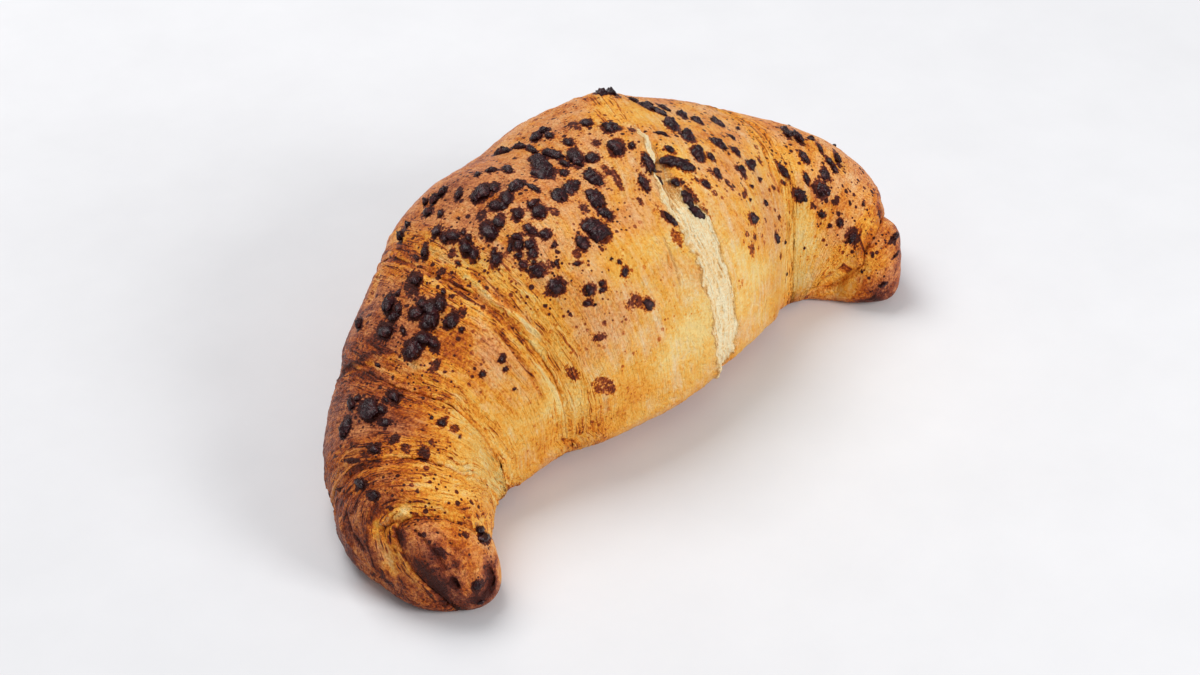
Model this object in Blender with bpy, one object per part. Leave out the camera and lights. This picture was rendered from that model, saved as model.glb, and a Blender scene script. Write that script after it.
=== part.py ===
"""A crescent of rolled, layered dough, baked lying flat: one solid, with the steps of its wraps.

The roll follows a curved spine that lies level. Each cross-section stands upright across that spine
and has a flat foot, full shoulders and its own width and height. The edges of the rolled wraps run
round it as shallow steps, and one long split runs over the middle.
"""
import math

import bmesh
import bpy

# The spine: length of each half, how far each half turns from straight, and how late it turns
LEFT_LENGTH = 0.0955
RIGHT_LENGTH = 0.0935
LEFT_TURN = math.radians(121)
RIGHT_TURN = math.radians(139)
LEFT_LATENESS = 2.6
RIGHT_LATENESS = 2.5
SPINE_STEPS = 400

# The cross-sections, from the left tip (-1) over the middle (0) to the right tip (+1)
STATIONS = (-0.94, -0.80, -0.62, -0.42, -0.20, 0.0, 0.20, 0.42, 0.62, 0.80, 0.94)
HALF_WIDTHS = (0.0100, 0.0145, 0.0190, 0.0255, 0.0335, 0.0365, 0.0360, 0.0320, 0.0270, 0.0185, 0.0095)
HEIGHTS = (0.0175, 0.0255, 0.0290, 0.0380, 0.0495, 0.0500, 0.0525, 0.0465, 0.0370, 0.0300, 0.0185)
WIDEST_AT = 0.25            # the widest level, as a share of the height
SHOULDER_FULLNESS = 2.4     # 2 is an ellipse, more is squarer
FOOT_FULLNESS = 2.8
SETTLED = 0.0008            # how much of the round foot is pressed flat
TIP_ROUNDING = 1.15         # length of a rounded tip, in half widths
TIP_BLUNTNESS = 2.2

# Each wrap's edge: side, mean place along the half, swing round the roll, angle where it is
# nearest the tip, depth of the step and the length over which the next wrap swells out again
WRAP_EDGES = (
    (-1, 0.310, 0.070, math.radians(130), 0.0013, 0.008),
    (-1, 0.530, 0.100, math.radians(140), 0.0016, 0.007),
    (-1, 0.755, 0.100, math.radians(145), 0.0016, 0.006),
    (-1, 0.880, 0.055, math.radians(115), 0.0026, 0.005),
    (1, 0.640, 0.140, math.radians(185), 0.0012, 0.008),
    (1, 0.750, 0.110, math.radians(170), 0.0010, 0.006),
    (1, 0.875, 0.068, math.radians(125), 0.0032, 0.005),
)
LIP = 0.0014                # half the length over which a wrap's edge falls away

# The split in the crust, right of the middle, from the crown down to the inner foot
SPLIT_PLACE = 0.09
SPLIT_LEAN = 0.20
SPLIT_LEAN_ANGLE = math.radians(22)
SPLIT_FROM = math.radians(85)
SPLIT_TO = math.radians(195)
SPLIT_DEPTH = 0.0018
SPLIT_HALF_WIDTH = 0.0032

ROUND_SEGMENTS = 64
LONG_SEGMENTS = 72

CRUST_COLOUR = (0.62, 0.29, 0.07, 1.0)
CRUST_ROUGHNESS = 0.55


def clear_scene():
    for obj in list(bpy.data.objects):
        bpy.data.objects.remove(obj, do_unlink=True)


def smooth(low, high, value):
    """0 below low, 1 above high, and an even rise between them."""
    share = min(max((value - low) / (high - low), 0.0), 1.0)
    return share * share * (3.0 - 2.0 * share)


def half_length(along):
    return LEFT_LENGTH if along < 0 else RIGHT_LENGTH


def heading(along):
    """The spine's direction, turning the same way at both ends of the crescent."""
    if along < 0:
        return LEFT_TURN * (-along) ** LEFT_LATENESS
    return -RIGHT_TURN * along ** RIGHT_LATENESS


def walk_spine(side):
    """Points of one half of the spine, from the middle to its tip."""
    points = [(0.0, 0.0)]
    length = half_length(side) / SPINE_STEPS
    for step in range(SPINE_STEPS):
        direction = heading(side * (step + 0.5) / SPINE_STEPS)
        x, y = points[-1]
        points.append((x + side * length * math.cos(direction), y + side * length * math.sin(direction)))
    return points


SPINE = {-1: walk_spine(-1), 1: walk_spine(1)}


def spine_point(along):
    side = -1 if along < 0 else 1
    place = abs(along) * SPINE_STEPS
    index = min(int(place), SPINE_STEPS - 1)
    share = place - index
    (x0, y0), (x1, y1) = SPINE[side][index], SPINE[side][index + 1]
    return x0 + (x1 - x0) * share, y0 + (y1 - y0) * share


def station_slope(values, index):
    before = max(index - 1, 0)
    after = min(index + 1, len(values) - 1)
    return (values[after] - values[before]) / (STATIONS[after] - STATIONS[before])


def from_stations(values, along):
    """A smooth curve through the stations' values."""
    along = min(max(along, STATIONS[0]), STATIONS[-1])
    index = max(i for i in range(len(STATIONS) - 1) if STATIONS[i] <= along)
    gap = STATIONS[index + 1] - STATIONS[index]
    t = (along - STATIONS[index]) / gap
    rise = values[index + 1] - values[index]
    start = station_slope(values, index) * gap
    end = station_slope(values, index + 1) * gap
    return values[index] + t * (start + t * (3 * rise - 2 * start - end + t * (start + end - 2 * rise)))


def tip_share(along):
    """1 along the roll, falling to 0 where a tip closes."""
    half_width = HALF_WIDTHS[0] if along < 0 else HALF_WIDTHS[-1]
    to_end = (1 - abs(along)) * half_length(along)
    inside = max(1 - to_end / (TIP_ROUNDING * half_width), 0.0)
    return math.sqrt(max(1 - inside ** TIP_BLUNTNESS, 0.0))


def wrap_steps(along, angle):
    """How far the wraps' edges set the surface back."""
    depth = 0.0
    for side, place, swing, lean, step, swell in WRAP_EDGES:
        edge = place + swing * math.cos(angle - lean)
        past = (side * along - edge) * half_length(side)
        depth += step * smooth(-LIP, LIP, past) * math.exp(-max(past, 0.0) / swell)
    return depth


def split_depth(along, angle):
    angle = angle % (2 * math.pi)
    if not SPLIT_FROM < angle < SPLIT_TO:
        return 0.0
    middle = SPLIT_PLACE + SPLIT_LEAN * math.exp(-(angle - SPLIT_FROM) / SPLIT_LEAN_ANGLE)
    across = (along - middle) * RIGHT_LENGTH / SPLIT_HALF_WIDTH
    ends = math.sin(math.pi * (angle - SPLIT_FROM) / (SPLIT_TO - SPLIT_FROM))
    return SPLIT_DEPTH * ends * math.exp(-across * across)


def signed_power(value, power):
    return math.copysign(abs(value) ** power, value)


def surface_point(along, angle):
    """A point of the crust. Angle 0 is the outer side of the crescent, 90 degrees its crown."""
    x, y = spine_point(along)
    direction = heading(along)
    half_width = from_stations(HALF_WIDTHS, along)
    height = from_stations(HEIGHTS, along)
    waist = WIDEST_AT * height
    above = math.sin(angle) > 0
    reach = height - waist if above else waist
    fullness = SHOULDER_FULLNESS if above else FOOT_FULLNESS
    share = tip_share(along)
    outwards = signed_power(math.cos(angle), 2 / fullness) * half_width * share
    upwards = signed_power(math.sin(angle), 2 / fullness) * reach * share

    set_back = wrap_steps(along, angle) + split_depth(along, angle)
    set_back *= share * smooth(-0.9, -0.3, math.sin(angle))
    lean_out = outwards / (half_width * half_width)
    lean_up = upwards / (reach * reach)
    steepness = math.hypot(lean_out, lean_up)
    if steepness > 0:
        outwards -= set_back * lean_out / steepness
        upwards -= set_back * lean_up / steepness

    return (
        x - math.sin(direction) * outwards,
        y + math.cos(direction) * outwards,
        max(waist + upwards - SETTLED, 0.0),
    )


def centre_over_origin(bm):
    """Puts the origin under the middle of the box that the crescent fills."""
    for axis in (0, 1):
        low = min(vert.co[axis] for vert in bm.verts)
        high = max(vert.co[axis] for vert in bm.verts)
        for vert in bm.verts:
            vert.co[axis] -= (low + high) / 2


def crust_material():
    material = bpy.data.materials.new("baked_crust")
    material.use_nodes = True
    shader = material.node_tree.nodes["Principled BSDF"]
    shader.inputs["Base Color"].default_value = CRUST_COLOUR
    shader.inputs["Roughness"].default_value = CRUST_ROUGHNESS
    shader.inputs["Metallic"].default_value = 0.0
    return material


def make_pastry():
    """A round sphere with a pole at each tip, whose points are carried onto the crescent."""
    bm = bmesh.new()
    bmesh.ops.create_uvsphere(bm, u_segments=ROUND_SEGMENTS, v_segments=LONG_SEGMENTS, radius=1.0)
    for vert in bm.verts:
        along = min(max(vert.co.z, -1.0), 1.0)
        vert.co = surface_point(along, math.atan2(vert.co.y, vert.co.x))
    centre_over_origin(bm)
    bmesh.ops.triangulate(bm, faces=bm.faces)
    bmesh.ops.recalc_face_normals(bm, faces=bm.faces)
    mesh = bpy.data.meshes.new("pastry")
    bm.to_mesh(mesh)
    bm.free()
    mesh.shade_smooth()
    mesh.materials.append(crust_material())
    pastry = bpy.data.objects.new("pastry", mesh)
    bpy.context.scene.collection.objects.link(pastry)
    return pastry


clear_scene()
make_pastry()
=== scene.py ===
# %% [markdown]
# A chocolate croissant: a flat triangle of layered dough, rolled up from its wide side, bent into a
# crescent and baked with bits of chocolate on top. What the eye knows it by is the rolled wraps
# with their thin layers, a split in the crust, and dark bits that have bubbled and stuck.
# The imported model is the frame: it gives the true size and place, and the crust made here
# takes the place of its plain solid.

import math
from types import SimpleNamespace

import bmesh
import bpy
import numpy as np
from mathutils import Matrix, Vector


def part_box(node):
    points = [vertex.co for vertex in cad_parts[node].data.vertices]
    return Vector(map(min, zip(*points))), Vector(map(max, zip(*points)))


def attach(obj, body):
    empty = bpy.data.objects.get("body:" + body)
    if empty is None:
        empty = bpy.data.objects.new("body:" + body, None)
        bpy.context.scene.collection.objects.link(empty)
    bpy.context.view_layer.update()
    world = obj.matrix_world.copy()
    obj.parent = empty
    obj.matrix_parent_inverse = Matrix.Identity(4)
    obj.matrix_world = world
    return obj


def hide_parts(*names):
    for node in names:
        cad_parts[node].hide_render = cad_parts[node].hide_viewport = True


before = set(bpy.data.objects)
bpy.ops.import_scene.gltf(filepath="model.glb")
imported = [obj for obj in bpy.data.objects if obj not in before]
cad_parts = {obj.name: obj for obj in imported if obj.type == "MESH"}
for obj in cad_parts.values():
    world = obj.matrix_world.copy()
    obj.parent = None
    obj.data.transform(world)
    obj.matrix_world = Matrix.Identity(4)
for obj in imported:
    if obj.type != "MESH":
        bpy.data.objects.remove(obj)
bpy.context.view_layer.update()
print("packed nodes:", sorted(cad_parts))

# %% [markdown]
# All shape work below is in millimetres, and one factor turns it into Blender's metres at the end.
# The crescent is the same one as in the part: a level spine that turns late, and upright sections
# with a flat foot and full shoulders. A place on it has two numbers. "Along" runs from -1 at the
# left tip over 0 in the middle to +1 at the right tip. The angle runs round the roll: 0 on
# the outer side, 90 degrees on the crown, 180 on the inner side and 270 underneath.

# %% Sizes of the crescent
MM = 0.001
LEFT_LENGTH = 95.5
RIGHT_LENGTH = 93.5
LEFT_TURN = math.radians(121)
RIGHT_TURN = math.radians(139)
LEFT_LATENESS = 2.6
RIGHT_LATENESS = 2.5
STATIONS = np.array((-0.94, -0.80, -0.62, -0.42, -0.20, 0.0, 0.20, 0.42, 0.62, 0.80, 0.94))
HALF_WIDTHS = np.array((10.0, 14.5, 19.0, 25.5, 33.5, 36.5, 36.0, 32.0, 27.0, 18.5, 9.5))
HEIGHTS = np.array((17.5, 25.5, 29.0, 38.0, 49.5, 50.0, 52.5, 46.5, 37.0, 30.0, 18.5))
WIDEST_AT = 0.25
SHOULDER_FULLNESS = 2.4
FOOT_FULLNESS = 2.8
SETTLED = 0.8
TIP_ROUNDING = 1.15
TIP_BLUNTNESS = 2.2
CENTRED = (0.12, 4.33)      # moves the spine's frame so that the crescent's box is over the origin


# %% The spine and the sections
def smooth(low, high, value):
    """0 below low, 1 above high, and an even rise between them."""
    share = np.clip((value - low) / (high - low), 0.0, 1.0)
    return share * share * (3.0 - 2.0 * share)


def half_length(along):
    return np.where(along < 0, LEFT_LENGTH, RIGHT_LENGTH)


def heading(along):
    """The spine's direction, which turns the same way at both ends of the crescent."""
    left = LEFT_TURN * np.abs(np.minimum(along, 0.0)) ** LEFT_LATENESS
    right = RIGHT_TURN * np.maximum(along, 0.0) ** RIGHT_LATENESS
    return left - right


SPINE_ALONG = np.linspace(-1.0, 1.0, 1601)
middles = (SPINE_ALONG[1:] + SPINE_ALONG[:-1]) / 2
steps = half_length(middles) * np.diff(SPINE_ALONG)
SPINE_X = np.concatenate([[0.0], np.cumsum(steps * np.cos(heading(middles)))])
SPINE_Y = np.concatenate([[0.0], np.cumsum(steps * np.sin(heading(middles)))])
SPINE_X += CENTRED[0] - np.interp(0.0, SPINE_ALONG, SPINE_X)
SPINE_Y += CENTRED[1] - np.interp(0.0, SPINE_ALONG, SPINE_Y)


def from_stations(values, along):
    """A smooth curve through the stations' values."""
    along = np.clip(along, STATIONS[0], STATIONS[-1])
    index = np.clip(np.searchsorted(STATIONS, along, side="right") - 1, 0, len(STATIONS) - 2)
    last = len(STATIONS) - 1
    before = np.maximum(np.arange(last + 1) - 1, 0)
    after = np.minimum(np.arange(last + 1) + 1, last)
    slopes = (values[after] - values[before]) / (STATIONS[after] - STATIONS[before])
    gap = STATIONS[index + 1] - STATIONS[index]
    t = (along - STATIONS[index]) / gap
    rise = values[index + 1] - values[index]
    start = slopes[index] * gap
    end = slopes[index + 1] * gap
    return values[index] + t * (start + t * (3 * rise - 2 * start - end + t * (start + end - 2 * rise)))


def tip_reach(along):
    """The length over which a tip rounds off, as a share of its half of the crescent."""
    return TIP_ROUNDING * np.where(along < 0, HALF_WIDTHS[0], HALF_WIDTHS[-1]) / half_length(along)


def tip_share(along):
    """1 along the roll, falling to 0 where a tip closes."""
    inside = np.clip(1.0 - (1.0 - np.abs(along)) / tip_reach(along), 0.0, 1.0)
    return np.sqrt(np.clip(1.0 - inside ** TIP_BLUNTNESS, 0.0, 1.0))


def ring(turn):
    """A point of the rounded section for an even turn round it, and the crescent's own angle there."""
    across = np.cos(turn)
    up = np.sin(turn)
    fullness = np.where(up > 0, SHOULDER_FULLNESS, FOOT_FULLNESS)
    size = (np.abs(across) ** fullness + np.abs(up) ** fullness) ** (-1.0 / fullness)
    across = across * size
    up = up * size
    even_across = np.sign(across) * np.abs(across) ** (fullness / 2)
    even_up = np.sign(up) * np.abs(up) ** (fullness / 2)
    return across, up, np.arctan2(even_up, even_across)


def crust(along, turn, raised=0.0):
    """Points of the crescent, and the directions that point straight out of its sections."""
    across, up, angle = ring(turn)
    direction = heading(along)
    half_width = from_stations(HALF_WIDTHS, along)
    height = from_stations(HEIGHTS, along)
    waist = WIDEST_AT * height
    reach = np.where(up > 0, height - waist, waist)
    share = tip_share(along)
    outwards = across * half_width * share
    upwards = up * reach * share
    lean_out = across / half_width
    lean_up = up / reach
    steepness = np.hypot(lean_out, lean_up)
    lean_out = lean_out / steepness
    lean_up = lean_up / steepness
    outwards = outwards + raised * lean_out
    upwards = upwards + raised * lean_up
    points = np.stack([
        np.interp(along, SPINE_ALONG, SPINE_X) - np.sin(direction) * outwards,
        np.interp(along, SPINE_ALONG, SPINE_Y) + np.cos(direction) * outwards,
        np.maximum(waist + upwards - SETTLED, 0.0)], axis=-1)
    normals = np.stack([-np.sin(direction) * lean_out, np.cos(direction) * lean_out, lean_up], axis=-1)
    return points, normals


low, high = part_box("pastry")
print("solid, mm:", [round(v / MM, 1) for v in low], [round(v / MM, 1) for v in high])

# %% [markdown]
# The camera looks down on the croissant from its inner side, past the near tip. It is set up first,
# because many small marks are placed by where the picture shows them: the ray of a
# pixel is followed to the crust, and the mark is made there, on the surface that carries it.

# %% The camera and the way from a pixel to the crust
PICTURE_WIDTH = 1200
PICTURE_HEIGHT = 675
VIEW_AZIMUTH = math.radians(-50.5)
VIEW_ELEVATION = math.radians(36.0)
VIEW_DISTANCE = 442.0
LOOK_AT = np.array((-9.18, -13.67, 18.8))
LENS = 63.0
SENSOR = 36.0

BACK = np.array((
    math.sin(VIEW_AZIMUTH) * math.cos(VIEW_ELEVATION),
    -math.cos(VIEW_AZIMUTH) * math.cos(VIEW_ELEVATION),
    math.sin(VIEW_ELEVATION)))
RIGHT = np.array((math.cos(VIEW_AZIMUTH), math.sin(VIEW_AZIMUTH), 0.0))
UP = np.cross(BACK, RIGHT)
EYE = LOOK_AT + VIEW_DISTANCE * BACK
PIXELS_PER_TANGENT = LENS / SENSOR * PICTURE_WIDTH


def add_camera():
    data = bpy.data.cameras.new("view")
    data.lens = LENS
    data.sensor_width = SENSOR
    data.clip_start = 0.01
    data.clip_end = 20.0
    camera = bpy.data.objects.new("view", data)
    bpy.context.scene.collection.objects.link(camera)
    camera.location = Vector(EYE * MM)
    camera.rotation_euler = Vector(BACK).to_track_quat("Z", "Y").to_euler()
    bpy.context.scene.camera = camera


def pixel_of(points):
    """Where points, in mm, come to lie in the picture, and how far off they are."""
    offset = points - EYE
    depth = -(offset @ BACK)
    x = PICTURE_WIDTH / 2 + PIXELS_PER_TANGENT * (offset @ RIGHT) / depth
    y = PICTURE_HEIGHT / 2 - PIXELS_PER_TANGENT * (offset @ UP) / depth
    return x, y, depth


def ray_of(pixel):
    """The direction in which the camera sees a pixel."""
    x, y = pixel
    sideways = (x - PICTURE_WIDTH / 2) / PIXELS_PER_TANGENT
    downwards = (y - PICTURE_HEIGHT / 2) / PIXELS_PER_TANGENT
    direction = -BACK + RIGHT * sideways - UP * downwards
    return direction / np.linalg.norm(direction)


add_camera()
grid_along, grid_turn = np.meshgrid(
    np.sin(np.linspace(-math.pi / 2, math.pi / 2, 501)),
    np.radians(np.arange(-80.0, 260.0, 0.6)),
    indexing="ij")
grid_points, grid_normals = crust(grid_along, grid_turn)
facing = np.sum(grid_normals * (EYE - grid_points), axis=-1) > 0
SEEN_POINTS = grid_points[facing]
SEEN_NORMALS = grid_normals[facing]
SEEN_ALONG = grid_along[facing]
SEEN_ANGLES = ring(grid_turn[facing])[2]
SEEN_X, SEEN_Y, SEEN_DEPTH = pixel_of(SEEN_POINTS)


def seen_at(pixel):
    """Which point of the grid shows at a pixel."""
    miss = np.hypot(SEEN_X - pixel[0], SEEN_Y - pixel[1])
    near = np.flatnonzero(miss < miss.min() + 2.0)
    return near[np.argmin(SEEN_DEPTH[near])]


def crust_at(pixel):
    """The point of the plain crescent that shows at a pixel, and the direction out of it there."""
    best = seen_at(pixel)
    return SEEN_POINTS[best], SEEN_NORMALS[best]


print("pixels per mm at the middle:", round(PIXELS_PER_TANGENT / VIEW_DISTANCE, 2))

# %% [markdown]
# Dough is uneven at every size, so most shapes below are stirred by noise. A small gradient noise in
# numpy works on whole meshes at once, and a seed gives each use its own pattern.

# %% Noise
def mixed_bits(x, y, z, seed):
    """A number for each lattice point that looks random and is always the same."""
    bits = (x * 374761393 + y * 668265263 + z * 1440662683 + seed * 974711) & 0xFFFFFFFF
    bits = ((bits ^ (bits >> 13)) * 1274126177) & 0xFFFFFFFF
    bits = ((bits ^ (bits >> 15)) * 2246822519) & 0xFFFFFFFF
    return bits ^ (bits >> 16)


def noise(x, y, z, seed=0):
    """Gradient noise, about -1 to 1, that changes over a distance of one unit."""
    x, y, z = np.broadcast_arrays(x, y, z)
    cell = [np.floor(v).astype(np.int64) for v in (x, y, z)]
    place = [v - c for v, c in zip((x, y, z), cell)]
    ease = [p * p * p * (p * (p * 6 - 15) + 10) for p in place]
    total = np.zeros(x.shape)
    for corner in range(8):
        step = (corner & 1, corner >> 1 & 1, corner >> 2 & 1)
        bits = mixed_bits(cell[0] + step[0], cell[1] + step[1], cell[2] + step[2], seed)
        weight = np.ones(x.shape)
        slope = np.zeros(x.shape)
        for axis in range(3):
            weight = weight * (ease[axis] if step[axis] else 1 - ease[axis])
            gradient = ((bits >> (axis * 10)) & 1023) / 511.5 - 1
            slope = slope + gradient * (place[axis] - step[axis])
        total += weight * slope
    return total * 1.6


def noise_at(points, size, seed=0):
    """Noise at points in mm, whose blobs are about size mm across."""
    scaled = points / size
    return noise(scaled[..., 0], scaled[..., 1], scaled[..., 2], seed)


def hashed(index, seed):
    """An even random number from 0 to 1 for each whole number."""
    index = np.asarray(index).astype(np.int64)
    return (mixed_bits(index, index * 0 + 7, index * 0 + 3, seed) & 0xFFFF) / 65535


print("noise spread:", noise_at(SEEN_POINTS[::50], 7.0).std().round(3))

# %% [markdown]
# Each wrap of the roll ends in an edge that lies over the next wrap towards the tip. An even wave round
# the roll is enough for an edge that only leans. The split and the edges near the tips have
# shapes of their own, so they pass through a few pixels of the picture, and go round the
# hidden side through places chosen to carry on from there.

# %% The wraps' edges
def swung(side, place, swing, lean):
    """An edge that goes once round the roll, nearest to the tip at the angle lean."""
    def edge(angle):
        return side * (place + swing * np.cos(angle - math.radians(lean)))
    return edge


def traced(side, hidden, pixels):
    """An edge that passes the pixels where it is seen, and elsewhere the hidden places, each of them
    an angle in degrees and a share of the way to the tip."""
    seen = [seen_at(pixel) for pixel in pixels]
    angles = np.concatenate([np.radians([angle for angle, _ in hidden]), SEEN_ANGLES[seen]])
    places = np.concatenate([[place for _, place in hidden], np.abs(SEEN_ALONG[seen])])

    def edge(angle):
        nearby = [angle - 0.06, angle, angle + 0.06]
        return side * sum(np.interp(near, angles, places, period=2 * math.pi) for near in nearby) / 3
    return edge


EDGE_A = swung(-1, 0.31, 0.07, 130)
EDGE_B = swung(-1, 0.53, 0.10, 140)
EDGE_C = traced(
    -1, hidden=((-165, 0.66), (-120, 0.62), (-60, 0.62), (0, 0.68)),
    pixels=((340, 470), (360, 456), (385, 450), (410, 449), (440, 456), (470, 466), (490, 478), (500, 486)))
EDGE_NEAR_TIP = traced(
    -1, hidden=((-165, 0.88), (-90, 0.93), (-40, 0.94), (-5, 0.93), (120, 0.93), (145, 0.935), (171, 0.91)),
    pixels=((432, 601), (421, 590), (410, 579), (400, 566), (390, 548), (384, 530), (386, 521), (392, 515),
            (400, 512), (415, 509), (430, 509), (445, 511), (460, 514), (475, 518)))
EDGE_SPLIT = traced(
    1, hidden=((-165, 0.10), (-120, 0.16), (-60, 0.30), (0, 0.36), (40, 0.36), (70, 0.32), (85, 0.265)),
    pixels=((637, 126), (648, 150), (655, 165), (662, 190), (672, 208), (682, 226), (692, 245), (702, 265),
            (709, 285), (715, 305), (718, 330), (720, 352)))
EDGE_SHOULDER = swung(1, 0.64, 0.14, 185)
EDGE_FAR_TIP = traced(
    1, hidden=((-165, 0.86), (-120, 0.81), (-55, 0.81), (0, 0.835), (30, 0.86)),
    pixels=((884, 205), (880, 213), (874, 222), (868, 231), (861, 240), (855, 248), (848, 256), (841, 263),
            (833, 271), (824, 280), (817, 288)))

print("split, mm from the middle:", (EDGE_SPLIT(np.radians((95, 120, 150))) * RIGHT_LENGTH).round(1))

# %% [markdown]
# Small marks in the crust follow lines that the picture shows: pale cracks where a layer has opened,
# a second tear beside the split, grooves and the folds of the near tip. Each is a line of pixels,
# a half width and a height in mm, below zero for a groove, how it changes the colour, and for
# a flap the height by which the crust on the line's left stands over the right. Where a groove, slit,
# hollow or pit is browned darker or loses cream, that darkening is painted shade in its depth.

# %% Marks that follow a line
# name: (pixels, half width, height, cream, browning, flap height)
LINE_MARKS = {
    "pale crack 1": (((463, 271), (478, 281), (489, 292), (500, 302), (507, 307), (515, 312), (530, 323),
                      (542, 335)), 0.34, 0.3, 0.08, -0.34, 0.2),
    "pale crack 2": (((536, 341), (546, 348), (553, 353)), 0.34, 0.3, 0.08, -0.34, 0.0),
    "pale crack 3": (((542, 367), (558, 387), (565, 402), (573, 424), (576, 444)),
                     0.34, 0.3, 0.08, -0.32, 0.0),
    "pale crack 4": (((438, 391), (452, 402), (470, 418), (486, 433)), 0.40, 0.2, 0.05, -0.20, 0.0),
    "pale crack 5": (((521, 287), (531, 293), (541, 299)), 0.36, 0.2, 0.06, -0.28, 0.0),
    # band crack: its groove is browned darker, painted shade
    "band crack": (((500, 327), (520, 350), (533, 372), (545, 398)), 0.3, -0.5, 0.0, 0.22, 0.2),
    "shade over crack": (((470, 268), (500, 292), (524, 310), (552, 336)), 0.5, -0.25, 0.0, 0.2, 0.0),
    "second tear": (((663, 236), (670, 250), (677, 266), (683, 284)), 0.55, -0.2, 0.62, -0.05, 0.0),
    "second tear edge": (((659, 238), (668, 256), (674, 270)), 0.35, 0.25, 0.0, 0.15, 0.0),
    # the two slits are darker crumb in their depth: painted shade
    "slit in crumb": (((722, 300), (724, 320), (727, 338)), 0.28, -0.7, -0.22, 0.0, 0.0),
    "slit in upper crumb": (((664, 178), (672, 200), (684, 222), (692, 240)), 0.35, -0.8, -0.4, 0.20, 0.0),
    # the shoulder line and groove are browned darker in their depth: painted shade
    "shoulder line": (((760, 140), (766, 155), (772, 170), (780, 190)), 0.35, -0.35, 0.0, 0.3, 0.0),
    "shoulder groove": (((814, 186), (817, 200), (818, 226)), 0.6, -0.6, 0.0, 0.25, 0.0),
    "tip flap": (((384, 530), (390, 548), (400, 566), (410, 579), (421, 590), (432, 601)),
                 0.6, 0.25, 0.16, -0.25, 0.0),
    "tip pocket": (((375, 530), (378, 545), (384, 558), (391, 571)), 0.9, -0.5, 0.25, -0.35, 0.0),
    "tip left fold": (((366, 533), (369, 548), (375, 565), (384, 580)), 0.4, 0.4, 0.0, 0.15, 0.9),
    "tip curl": (((376, 526), (384, 520), (391, 515), (399, 511)), 0.9, 0.5, 0.42, -0.30, 0.0),
    "tip curl shade": (((376, 530), (384, 524), (394, 519), (402, 516)), 0.4, -0.7, 0.0, 0.30, 0.0),
    # tip crease 1 and 2, the tip hollow and tip pit 1 are browned darker in their depth: painted shade
    "tip crease 1": (((412, 530), (424, 545), (436, 556), (446, 572)), 0.35, -0.5, 0.0, 0.10, 0.0),
    "tip crease 2": (((436, 528), (450, 540), (462, 552)), 0.3, -0.4, 0.0, 0.08, 0.0),
    "tip hollow": (((491, 568), (493, 578), (490, 588)), 1.5, -3.0, 0.0, 0.40, 0.0),
    "tip hollow rim": (((482, 560), (480, 575), (482, 590)), 0.6, 0.8, 0.1, -0.30, 0.0),
    "tip hollow rim right": (((497, 562), (501, 575), (498, 590)), 0.6, 0.6, 0.0, -0.10, 0.0),
    "tip pit 1": (((455, 583), (456, 588)), 0.5, -1.2, 0.0, 0.4, 0.0),
    "tip ridge": (((338, 520), (345, 538), (356, 556), (370, 575)), 0.5, 0.5, 0.0, -0.1, 0.0),
    # the tip groove is browned darker in its depth: painted shade
    "tip groove": (((344, 516), (351, 533), (361, 550)), 0.4, -0.6, 0.0, 0.25, 0.0),
    "side hollow": (((362, 293), (372, 277)), 0.9, -1.0, 0.2, -0.3, 0.0),
    # painted shade on the far lobe where the far end's lip overhangs it
    "far fold shade": (((884, 207), (868, 240), (852, 264), (836, 281), (817, 293)), 0.8, -0.3, 0.0, 0.22, 0.0),
    "left ridge 1": (((358, 255), (372, 249), (385, 246), (398, 247)), 0.35, 0.5, 0.0, 0.2, 0.0),
    "left gap 1": (((360, 259), (374, 253), (388, 250)), 0.3, -0.5, 0.0, -0.25, 0.0),
    "left ridge 2": (((336, 368), (350, 358), (366, 352), (385, 349)), 0.35, 0.5, 0.0, 0.25, 0.0),
    "left gap 2": (((338, 373), (352, 363), (368, 357)), 0.3, -0.6, 0.0, -0.2, 0.0),
    "left ridge 3": (((331, 490), (342, 470), (356, 458), (372, 453)), 0.4, 0.6, 0.0, 0.0, 0.0),
    "left gap 3": (((332, 497), (343, 477), (357, 464)), 0.3, -0.6, 0.0, -0.1, 0.0),
}

MARKED = {}
for name, (pixels, *rest) in LINE_MARKS.items():
    places = [crust_at(pixel) for pixel in pixels]
    line = np.array([place for place, _ in places])
    straight_out = np.mean([out for _, out in places], axis=0)
    MARKED[name] = (line, straight_out, *rest)
print("line marks:", len(MARKED))


def distance_to_line(points, line, out):
    """How far points are from a line of straight pieces, in mm, 1 on its left or -1 on its right,
    and how far past its ends they are."""
    nearest = np.full(len(points), 1e9)
    side = np.ones(len(points))
    past = np.zeros(len(points))
    for number, (start, end) in enumerate(zip(line[:-1], line[1:])):
        way = end - start
        share = (points - start) @ way / (way @ way)
        offset = points - start - np.clip(share, 0.0, 1.0)[:, None] * way
        off = np.linalg.norm(offset, axis=1)
        over = np.maximum(-share, 0.0) * (number == 0)
        over = over + np.maximum(share - 1.0, 0.0) * (number == len(line) - 2)
        closer = off < nearest
        nearest[closer] = off[closer]
        side[closer] = np.sign(offset[closer] @ np.cross(out, way))
        past[closer] = over[closer] * np.linalg.norm(way)
    return nearest, side, past


# %% [markdown]
# The oven browns the crust unevenly, and it shows two kinds of brown: the smooth egg-washed skin
# bakes to a dull rosy tan, and pulled or layered dough to a clear amber. The patches say where
# the picture differs from the even change between side and crown. The last table
# holds broad bulges and hollows of the shape, in mm.

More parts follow.
